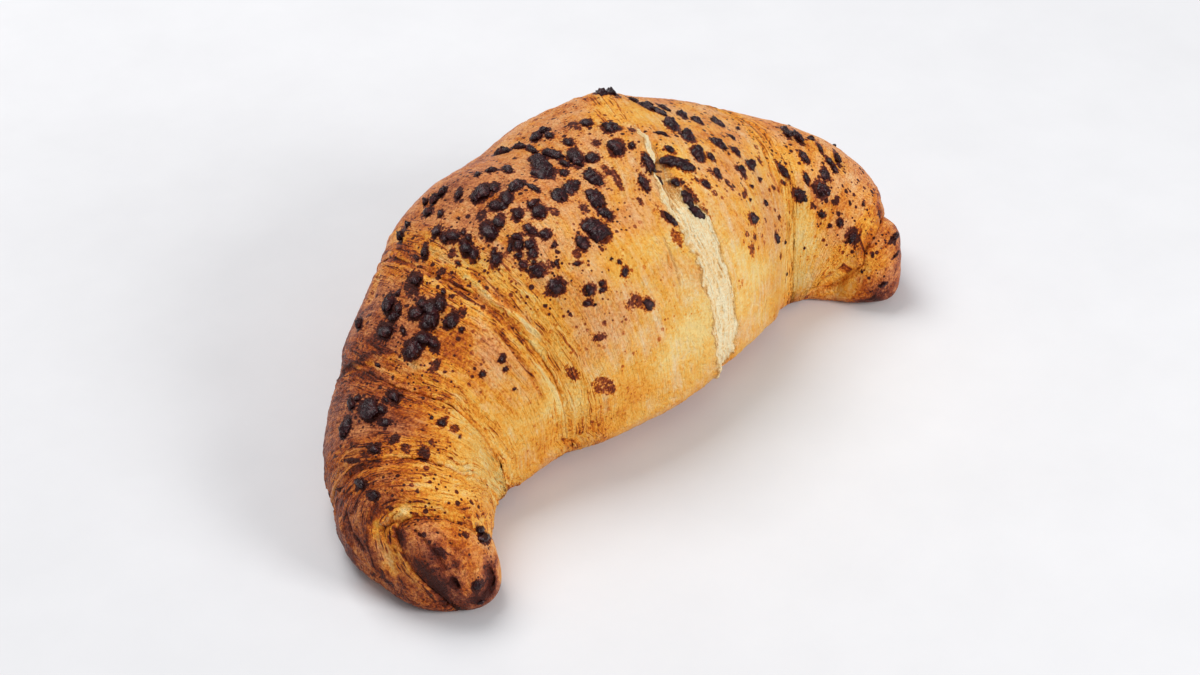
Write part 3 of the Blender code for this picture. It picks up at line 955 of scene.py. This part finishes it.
def open_crumb(w):
    """The pale fibrous crumb to the right of the split, and the pale torn skin on its left."""
    if w.torn_start:
        width = crumb_width(w.angle) + 0.8 * round_noise(w, 3, 23)
        width = width + 0.45 * noise(w.across / 2, w.round_x / 0.9, w.round_y / 0.9, 24)
        fresh = smooth(math.radians(112), math.radians(134), turned_angle(w.angle))
        lies_open = smooth(0.3, 1.2, crumb_width(w.angle))
        crumb = (1 - smooth(width - 2.4 + 1.8 * fresh, width + 0.4, w.past_start)) * lies_open
        strands = noise(w.across / 2.0, w.round_x / 5, w.round_y / 5, 24)
        fibres = 0.45 * strands + 0.26 * noise(w.across / 0.9, w.round_x / 4, w.round_y / 4, 25)
        fibres = fibres + 0.18 * noise_at(w.plain, 0.9, 26)
        w.raised -= crumb * (CRUMB_DEPTH - fibres)
        # painted shade: the crumb is darker close under the torn lip
        shade_under_lip = 0.70 + 0.30 * smooth(0.4, 2.6, w.past_start)
        paleness = 0.50 + 0.58 * fresh + 0.22 * noise_at(w.plain, 1.6, 29) + 0.25 * strands
        w.cream = np.maximum(w.cream, crumb * shade_under_lip * paleness)
        w.layered = np.maximum(w.layered, 0.8 * crumb * (1 - fresh))
    if w.torn_end:
        skin = (1 - smooth(0.3, 1.7, w.before_end + 1.1 * noise_at(w.plain, 1.5, 27))) * w.torn
        w.raised += 0.75 * skin * smooth(-0.2, 0.5, noise_at(w.plain, 3.0, 28))
        w.cream = np.maximum(w.cream, 0.9 * skin)
    if w.start_kind == "tuck" and not w.torn_start:
        fresh = (1 - smooth(0.0, 1.0, w.past_start)) * smooth(0.0, 0.5, round_noise(w, 9, w.seed + 9))
        w.cream = np.maximum(w.cream, 0.25 * fresh)
        # painted shade: the crust just out from under the neighbour's lip is browned darker, more so under a
        # deeper lip
        w.browning += 0.14 * min(w.step, 1.6) * np.exp(-np.maximum(w.past_start, 0.0) / 0.8)
    if w.end_kind == "lip" and not w.torn_end:
        # a pale rim along a lip's edge: partly the paler exposed layers, partly a painted highlight
        rim = 1 - smooth(0.1, 0.9, w.before_end + 0.3 * noise_at(w.plain, 1.5, 35))
        rim = rim * smooth(-0.2, 0.3, round_noise(w, 8, w.seed + 10))
        w.cream = np.maximum(w.cream, 0.32 * rim)
        w.browning -= 0.08 * rim


def press_marks(w):
    """Follows the marked lines: grooves, ridges, pale cracks and the flaps of the tip."""
    for line, out, half_wide, high, cream, brown, flap in MARKED.values():
        reach = 4 * half_wide + (6 if flap else 1)
        inside = (w.plain > line.min(axis=0) - reach) & (w.plain < line.max(axis=0) + reach)
        close = np.flatnonzero(np.all(inside, axis=1))
        if len(close) == 0:
            continue
        off, side, past = distance_to_line(w.plain[close], line, out)
        off = off + 0.35 * half_wide * noise_at(w.plain[close], 1.3, 33)
        mark = np.exp(-(off / half_wide) ** 2)
        w.raised[close] += high * mark
        if cream >= 0:
            w.cream[close] = np.maximum(w.cream[close], cream * mark)
        else:
            w.cream[close] = w.cream[close] + cream * mark
        w.browning[close] += brown * np.exp(-(off / half_wide) ** 2 / 3)
        w.raised[close] += flap * (side > 0) * np.exp(-(off / 3.2) ** 2 - (past / 1.2) ** 2)


# %% [markdown]
# The fourth step browns the crust round each bit, where chocolate has soaked in, and spreads the scorched
# freckles over the crown. Then every point goes to its place, down to the floor at the lowest,
# and keeps its colour numbers as attributes, which the material reads.

# %% Step 4: stains, and the finished shell
def stain_wrap(w):
    bits = np.maximum(near_bits(w.plain, LAID_BITS, 0.8), near_bits(w.plain, STREWN_BITS, 0.8))
    smears = near_bits(w.plain, LAID_SMEARS, 0.9)
    w.stain = np.maximum(0.80 * bits, 0.72 * smears)
    w.raised += 0.12 * smears
    crowding = near_bits(w.plain, LAID_BITS + STREWN_BITS, 3.0)
    crown = np.exp(-((w.angle - math.radians(92)) / math.radians(60)) ** 2)
    w.freckled = np.clip(crown * (0.5 + 0.7 * noise_at(w.plain, 16, 34)) + 0.15 + 0.4 * crowding, 0.0, 1.0)


def place_points(w):
    calm = smooth(-0.9, -0.3, np.sin(w.angle)) * np.clip(tip_share(w.along) * 1.6, 0, 1)
    points, _ = crust(w.along, w.turn, (w.raised - w.sink) * calm)
    for end_row in np.unique(w.row[w.closed > 0]):
        ring_points = w.row == end_row
        along = w.along[ring_points].mean()
        waist = WIDEST_AT * from_stations(HEIGHTS, np.array([along]))[0]
        middle_x = np.interp(along, SPINE_ALONG, SPINE_X)
        middle_y = np.interp(along, SPINE_ALONG, SPINE_Y)
        points[ring_points] = (middle_x, middle_y, waist)
    points[:, 2] = np.maximum(points[:, 2], 0.0)
    w.mesh.vertices.foreach_set("co", (points * MM).ravel())


COLOUR_NUMBERS = ("browning", "amber", "cream", "stain", "layered", "freckled")


def keep_numbers(w):
    """Stores what the colours need with each point."""
    for label in COLOUR_NUMBERS:
        values = getattr(w, label).astype(np.float32)
        w.mesh.attributes.new(label, "FLOAT", "POINT").data.foreach_set("value", values)
    grain = np.stack([w.across, w.round_x, w.round_y], axis=-1).astype(np.float32)
    w.mesh.attributes.new("grain", "FLOAT_VECTOR", "POINT").data.foreach_set("vector", grain.ravel())


# %% [markdown]
# Then all steps run for each wrap. The usual sizes stand once, and a wrap names only what differs.

# %% Making the wraps
USUAL = dict(
    start_kind="tuck", end_kind="lip", step=1.6, swell=7.0, depth=1.7, band=4.5, fall=0.6,
    layer_share=0.12, bare=8.0, finest=0.2, coarsest=0.32, torn_start=False, torn_end=False)


def make_wrap(name, seed, start, end, width, rounds, **different):
    """step: the neighbour's lip that it comes out from under, swell: mm until it is full again, and bare:
    mm until its layers end. depth: its own lip, band: mm of its slope, and fall: the slope's share."""
    w = SimpleNamespace(
        name=name, seed=seed, start=start, end=end, width=width, rounds=rounds, **{**USUAL, **different})
    for make_step in (roll_up, shape_edges, slope_bands, raise_relief, open_crumb, press_marks, stain_wrap,
                      place_points, keep_numbers):
        make_step(w)
    open_edges = close_shell(w.mesh)
    wrap = bpy.data.objects.new(name, w.mesh)
    bpy.context.scene.collection.objects.link(wrap)
    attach(wrap, "root")
    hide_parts("pastry")
    print(name, "faces:", len(w.mesh.polygons), "open edges:", open_edges)
    return wrap


def tip_end(side):
    def edge(angle):
        return side + 0.0 * angle
    return edge


WRAPS = [
    make_wrap("near_tip", 1, EDGE_NEAR_TIP, tip_end(-1), 16, 300,
              end_kind="tip", step=1.6, swell=3.0, bare=3.0, layer_share=0.04, coarsest=0.24),
    make_wrap("wrap_near_tip", 2, EDGE_C, EDGE_NEAR_TIP, 12, 300,
              swell=6.0, depth=1.8, band=3.0, fall=0.35, layer_share=0.6),
    make_wrap("wrap_lower_left", 3, EDGE_B, EDGE_C, 21, 320, layer_share=0.25),
    make_wrap("wrap_upper_left", 4, EDGE_A, EDGE_B, 21, 340, step=1.3, swell=8.0, layer_share=0.2),
    make_wrap("wrap_middle", 5, EDGE_A, EDGE_SPLIT, 46, 390,
              start_kind="lip", depth=1.4, band=6.5, layer_share=0.06, torn_end=True),
    make_wrap("wrap_shoulder", 6, EDGE_SPLIT, EDGE_SHOULDER, 44, 370,
              depth=0.7, band=5.0, torn_start=True),
    make_wrap("wrap_far_end", 7, EDGE_SHOULDER, EDGE_FAR_TIP, 21, 280,
              step=0.5, swell=8.0, bare=5.0, depth=3.8, band=2.0, fall=0.25),
    make_wrap("far_tip", 8, EDGE_FAR_TIP, tip_end(1), 14, 240,
              end_kind="tip", step=3.2, swell=3.5, bare=2.5),
]
bpy.context.view_layer.update()

# %% [markdown]
# One small function adds a shader node: its kind, its settings, and its sockets, each given
# a value or the socket that feeds it. Colours are written as the hex values that a picture editor
# shows, and turned to the linear numbers that Blender mixes in.

# %% Helpers for materials
def linear(colour):
    """The linear RGBA of an sRGB hex colour."""
    parts = [int(colour[i:i + 2], 16) / 255 for i in (1, 3, 5)]
    return tuple(p / 12.92 if p <= 0.04045 else ((p + 0.055) / 1.055) ** 2.4 for p in parts) + (1.0,)


def scale_for(size):
    """The scale that gives a pattern cells of this many mm, since Blender counts in metres."""
    return 1 / (size * MM)


def add_node(tree, kind, sockets=(), stops=(), **settings):
    """Adds a shader node. Its sockets come in their own order or by name. Each takes a number or
    a colour, the output that feeds it, or the node whose first output does. The stops of a
    colour ramp are (position, hex) pairs."""
    node = tree.nodes.new("ShaderNode" + kind)
    for key, value in settings.items():
        setattr(node, key, value)
    for key, value in sockets.items() if isinstance(sockets, dict) else enumerate(sockets):
        if isinstance(value, bpy.types.Node):
            value = value.outputs[0]
        if isinstance(value, bpy.types.NodeSocket):
            tree.links.new(value, node.inputs[key])
        else:
            node.inputs[key].default_value = value
    for number, (position, _) in enumerate(stops):
        if number == len(node.color_ramp.elements):
            node.color_ramp.elements.new(1.0)
        node.color_ramp.elements[number].position = position
    for number, (_, colour) in enumerate(stops):
        node.color_ramp.elements[number].color = linear(colour)
    return node


def varied(tree, base, *patterns):
    """A base number that patterns from 0 to 1 move up and down, each by its own amount."""
    for pattern, amount in patterns:
        base = add_node(tree, "Math", (pattern, amount, base), operation="MULTIPLY_ADD")
    half = sum(amount for _, amount in patterns) / 2
    return add_node(tree, "Math", (base, half), operation="SUBTRACT")


def new_material(name):
    material = bpy.data.materials.new(name)
    material.use_nodes = True
    material.node_tree.nodes.clear()
    return material, material.node_tree


print("crust tan in linear numbers:", [round(v, 3) for v in linear("#d59355")[:3]])

# %% [markdown]
# Crust: egg-washed laminated dough, baked. The skin bakes to a rosy tan and layered dough to clear
# amber, and both darken to a red-brown. It is mottled at half a millimetre and at a few,
# streaked along the layers and freckled with tiny scorched dots. The wash leaves a soft gloss.

# %% Crust colours
SKIN_COLOURS = ((0.0, "#fddcab"), (0.2, "#fbc68a"), (0.38, "#f2ab6b"), (0.52, "#df8b50"),
                (0.66, "#b0623b"), (0.80, "#7a3826"), (1.0, "#401612"))
AMBER_COLOURS = ((0.0, "#ffdc8c"), (0.2, "#ffc45f"), (0.38, "#fbab3a"), (0.52, "#e58320"),
                 (0.66, "#bb5610"), (0.80, "#80300a"), (1.0, "#451709"))
CRUMB_COLOURS = ((0.0, "#c88236"), (0.45, "#fbd391"), (1.0, "#fff0c8"))


# %% [markdown]
# The colour comes from one number, how brown the crust is, looked up in two ramps, one for skin and one
# for pulled dough. Starting from the browning kept with the points, patterns push it up and
# down: blotches of 8 mm, mottling of 2 mm and grains of half a millimetre, all in
# Object coordinates, and streaks in the grain's own coordinates, long round the roll.

# %% Patterns of the crust
BLOTCHES = 7.69             # mm, the width of a cell of noise
MOTTLE = 2.38
GRAINS = 0.556
PORES = 0.435
FRECKLES = (1.54, 0.833)    # mm from freckle to freckle, in two patterns laid over each other
BARE_SHARE = 0.5            # the share of places that hold no freckle
WIDEST_FRECKLE = 0.46       # half its width, as a share of its place
ROUGH = 0.6                 # how strong the finer parts of each noise are


def dots(tree, place, spacing):
    """Round dots: some cells of a Voronoi pattern hold one, each of its own size."""
    cells = add_node(tree, "TexVoronoi", {"Vector": place, "Scale": scale_for(spacing)})
    pick = add_node(tree, "SeparateColor", {"Color": cells.outputs["Color"]})
    size = add_node(tree, "MapRange", (pick, BARE_SHARE, 1.0, 0.0, WIDEST_FRECKLE))
    inner = add_node(tree, "Math", (size, cells.outputs["Distance"]), operation="SUBTRACT")
    return add_node(tree, "MapRange", (inner, 0.0, 0.12))


def crust_patterns(tree):
    """The noises of the crust, by name."""
    place = add_node(tree, "TexCoord").outputs["Object"]
    grain = add_node(tree, "Attribute", attribute_name="grain").outputs["Vector"]
    wide = add_node(tree, "VectorMath", (grain, (0.8, 0.16, 0.16)), operation="MULTIPLY")
    narrow = add_node(tree, "VectorMath", (grain, (3.2, 0.28, 0.28)), operation="MULTIPLY")
    kinds = {
        "blotches": (place, scale_for(BLOTCHES), 3), "mottle": (place, scale_for(MOTTLE), 3),
        "grains": (place, scale_for(GRAINS), 2), "pores": (place, scale_for(PORES), 2),
        "streaks": (wide, 1, 3), "lines": (narrow, 1, 2)}
    spots = [dots(tree, place, spacing) for spacing in FRECKLES]
    found = {"freckles": add_node(tree, "Math", spots, operation="MAXIMUM")}
    for name, (vector, scale, detail) in kinds.items():
        sockets = {"Vector": vector, "Scale": scale, "Detail": detail, "Roughness": ROUGH}
        found[name] = add_node(tree, "TexNoise", sockets)
    return SimpleNamespace(**found)


# %% [markdown]
# Where dough is pulled, streaks and thin dark lines get stronger. Where the freckles and the stains are
# is kept with the points, and their rims are frayed by the same noises. Crumb lies over all:
# its number is frayed too, so that torn edges don't end in a clean line.

# %% Crust material
def crust_browning(tree, kept, noises):
    """How brown the crust is, from 0 for raw dough to 1 for scorched."""
    shade = varied(
        tree, kept["browning"], (noises.blotches, 0.45), (noises.mottle, 0.40), (noises.grains, 0.65))
    lines = add_node(tree, "MapRange", (noises.lines, 0.57, 0.64))
    line_share = add_node(tree, "MapRange", (kept["layered"], 0.05, 0.7, 0.03, 0.36))
    streaks = varied(tree, 0.0, (noises.streaks, 1.0))
    streak_share = add_node(tree, "MapRange", (kept["layered"], 0.05, 0.6, 0.30, 0.50))
    freckled = varied(tree, kept["freckled"], (noises.blotches, 1.5))
    freckle_share = add_node(tree, "MapRange", (freckled, 0.2, 0.9, 0.0, 0.66))
    for pattern, share in ((lines, line_share), (streaks, streak_share), (noises.freckles, freckle_share)):
        shade = add_node(tree, "Math", (pattern, share, shade), operation="MULTIPLY_ADD")
    stain = varied(tree, kept["stain"], (noises.mottle, 1.1), (noises.grains, 0.9))
    stain = add_node(tree, "MapRange", (stain, 0.36, 0.66, 0.0, 0.52))
    return add_node(tree, "Math", (shade, stain), operation="ADD")


def crust_colour(tree, kept, noises):
    """The colour of skin, pulled dough and crumb, one over the other."""
    shade = crust_browning(tree, kept, noises)
    skin = add_node(tree, "ValToRGB", (shade,), SKIN_COLOURS)
    pulled = add_node(tree, "ValToRGB", (shade,), AMBER_COLOURS)
    amber = varied(tree, kept["amber"], (noises.streaks, 1.6), (noises.mottle, 1.2))
    amber = add_node(tree, "MapRange", (amber, 0.1, 0.9))
    crust_only = add_node(tree, "Mix", {0: amber, 6: skin, 7: pulled}, data_type="RGBA").outputs[2]

    frayed = varied(tree, kept["cream"], (noises.mottle, 0.9), (noises.grains, 0.7))
    frayed = add_node(tree, "MapRange", (frayed, 0.25, 0.7))
    present = add_node(tree, "MapRange", (kept["cream"], 0.02, 0.25))
    creamy = add_node(tree, "Math", (frayed, present), operation="MULTIPLY")
    fibres = add_node(tree, "MapRange", (kept["cream"], 0.5, 1.0, 0.0, 0.8))
    fibres = varied(tree, fibres, (noises.lines, 2.0), (noises.grains, 1.5))
    crumb = add_node(tree, "ValToRGB", (fibres,), CRUMB_COLOURS)
    return add_node(tree, "Mix", {0: creamy, 6: crust_only, 7: crumb}, data_type="RGBA").outputs[2]


def make_crust_material():
    material, tree = new_material("egg_washed_crust")
    noises = crust_patterns(tree)
    kept = {name: add_node(tree, "Attribute", attribute_name=name).outputs["Fac"] for name in COLOUR_NUMBERS}
    skin_height = varied(
        tree, 0.0, (noises.pores, 1.0), (noises.grains, 2.0), (noises.mottle, 2.2), (noises.lines, 1.6))
    bump = add_node(tree, "Bump", {"Height": skin_height, "Strength": 0.9, "Distance": 0.0004})
    shader = add_node(tree, "BsdfPrincipled", {
        "Base Color": crust_colour(tree, kept, noises), "Roughness": 0.44, "Specular IOR Level": 0.2,
        "Normal": bump})
    add_node(tree, "OutputMaterial", {"Surface": shader})
    return material


CRUST_MATERIAL = make_crust_material()
for wrap in WRAPS:
    wrap.data.materials.append(CRUST_MATERIAL)
print("crust material nodes:", len(CRUST_MATERIAL.node_tree.nodes))

# %% [markdown]
# The bits are dark chocolate that softened, bubbled and set again: lumpy domes sunk into the crust.
# Each starts as a small sphere. Its arrows along the crust give its length and width, noise
# makes it lumpy, and a ray in along the crust's normal finds the finished crust that it sits on.

# %% Bits of chocolate as meshes
def ball_mesh(detail):
    bm = bmesh.new()
    bmesh.ops.create_icosphere(bm, subdivisions=detail, radius=1.0)
    mesh = bpy.data.meshes.new("ball")
    bm.to_mesh(mesh)
    bm.free()
    corners = np.empty(len(mesh.vertices) * 3)
    mesh.vertices.foreach_get("co", corners)
    return mesh, corners.reshape(-1, 3)


BALLS = {detail: ball_mesh(detail) for detail in (2, 3, 4)}
DEPTHS = bpy.context.evaluated_depsgraph_get()


def onto_crust(point, normal):
    """The finished crust straight under a point of the plain crescent."""
    origin = Vector((point + normal * 6.0) * MM)
    hit, place, _, _, _, _ = bpy.context.scene.ray_cast(DEPTHS, origin, Vector(-normal), distance=0.014)
    return np.array(place) / MM if hit else point


def lumpy_bit(balls, laid, number):
    """The points of one bit: a flat lump, wide as its arrows say, on the crust."""
    point, normal, first, second, tall = laid
    from_axis = np.maximum(np.hypot(balls[:, 0], balls[:, 1]), 0.25)[:, None]
    round_about = balls * np.array((1.0, 1.0, 0.0)) / from_axis
    outline = 0.93 + 0.30 * noise_at(round_about * 0.9 + number * 3.1, 0.9, 41)
    outline += 0.30 * noise_at(round_about + number * 1.7, 0.36, 44)
    bubbles = 0.5 * np.abs(noise_at(balls + number * 5.3, 0.45, 42))
    bubbles += 0.25 * noise_at(balls + number * 2.3, 0.22, 43)
    high = tall * (0.75 + bubbles)
    rise = np.where(balls[:, 2] > 0, np.abs(balls[:, 2]) ** 1.25, -0.4 * np.abs(balls[:, 2]))
    flat = balls[:, :2] * outline[:, None]
    sideways = flat[:, :1] * first + flat[:, 1:] * second
    return onto_crust(point, normal) + sideways + (high * rise)[:, None] * normal


def turn_outwards(mesh):
    bm = bmesh.new()
    bm.from_mesh(mesh)
    bmesh.ops.recalc_face_normals(bm, faces=bm.faces)
    bm.to_mesh(mesh)
    bm.free()
    mesh.shade_smooth()


def make_bits(name, laid_bits):
    bm = bmesh.new()
    places = []
    for number, laid in enumerate(laid_bits):
        longest = np.linalg.norm(laid[2])
        detail = 4 if longest > 1.7 else 3 if longest > 0.8 else 2
        template, balls = BALLS[detail]
        bm.from_mesh(template)
        places.append(lumpy_bit(balls, laid, number))
    mesh = bpy.data.meshes.new(name)
    bm.to_mesh(mesh)
    bm.free()
    mesh.vertices.foreach_set("co", (np.concatenate(places) * MM).ravel())
    turn_outwards(mesh)
    bits = bpy.data.objects.new(name, mesh)
    bpy.context.scene.collection.objects.link(bits)
    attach(bits, "root")
    print(name, "faces:", len(mesh.polygons))
    return bits


BIT_PIECES = [make_bits("chocolate_bits", LAID_BITS), make_bits("chocolate_bits_far_side", STREWN_BITS)]

# %% [markdown]
# Baked chocolate is almost black, with a red-brown bloom where it is thin, and its bubbled skin has
# a few small, sharp highlights.

# %% Chocolate material
CHOCOLATE_COLOURS = ((0.3, "#190a0d"), (0.55, "#301318"), (0.75, "#5e2c29"))
BLOOM = 1.25                # mm, the width of a patch of bloom
BUBBLES = 0.385             # mm, the width of a burst bubble


def make_chocolate_material():
    material, tree = new_material("dark_chocolate")
    place = add_node(tree, "TexCoord").outputs["Object"]
    bloom, bubbles = [
        add_node(tree, "TexNoise", {
            "Vector": place, "Scale": scale_for(size), "Detail": 3, "Roughness": ROUGH})
        for size in (BLOOM, BUBBLES)]
    colour = add_node(tree, "ValToRGB", (bloom,), CHOCOLATE_COLOURS)
    bump = add_node(tree, "Bump", {"Height": bubbles, "Strength": 0.5, "Distance": 0.0003})
    shader = add_node(tree, "BsdfPrincipled", {
        "Base Color": colour, "Roughness": 0.21, "Specular IOR Level": 0.22, "Normal": bump})
    add_node(tree, "OutputMaterial", {"Surface": shader})
    return material


chocolate = make_chocolate_material()
for bits in BIT_PIECES:
    bits.data.materials.append(chocolate)

# %% [markdown]
# The studio: a pale sheet for the floor, one big soft light from the camera's right, one from above
# and behind, and an even surround.

# %% Floor, lights and surround
CLOUDS = 28.6               # mm, the width of a cloud in the paper


def make_floor():
    bm = bmesh.new()
    bmesh.ops.create_grid(bm, x_segments=1, y_segments=1, size=2.0)
    mesh = bpy.data.meshes.new("floor")
    bm.to_mesh(mesh)
    bm.free()
    floor = bpy.data.objects.new("floor", mesh)
    bpy.context.scene.collection.objects.link(floor)
    material, tree = new_material("pale_paper")
    place = add_node(tree, "TexCoord").outputs["Object"]
    clouds = add_node(tree, "TexNoise", {
        "Vector": place, "Scale": scale_for(CLOUDS), "Detail": 6, "Roughness": ROUGH})
    colour = add_node(tree, "ValToRGB", (clouds,), ((0.0, "#e2e2e4"), (1.0, "#ececee")))
    shader = add_node(tree, "BsdfPrincipled", {
        "Base Color": colour, "Roughness": 0.9, "Specular IOR Level": 0.1})
    add_node(tree, "OutputMaterial", {"Surface": shader})
    mesh.materials.append(material)


def add_softbox(name, azimuth, elevation, distance, size, power):
    """A square area light that looks at the croissant. Azimuth 0 is in front, counted to the right."""
    data = bpy.data.lights.new(name, "AREA")
    data.shape = "SQUARE"
    data.size = size
    data.energy = power
    light = bpy.data.objects.new(name, data)
    bpy.context.scene.collection.objects.link(light)
    turn = math.radians(azimuth)
    rise = math.radians(elevation)
    away = Vector((math.sin(turn) * math.cos(rise), -math.cos(turn) * math.cos(rise), math.sin(rise)))
    light.location = away * distance
    light.rotation_euler = away.to_track_quat("Z", "Y").to_euler()


make_floor()
add_softbox("key", 8, 27, 0.9, 0.35, 4.5)
add_softbox("top", 172, 60, 1.0, 0.6, 7.1)
world = bpy.data.worlds.new("surround")
bpy.context.scene.world = world
world.use_nodes = True
world.node_tree.nodes["Background"].inputs["Color"].default_value = linear("#f6f7fa")
world.node_tree.nodes["Background"].inputs["Strength"].default_value = 0.36
bpy.context.scene.view_settings.view_transform = "Standard"
bpy.context.scene.view_settings.look = "None"
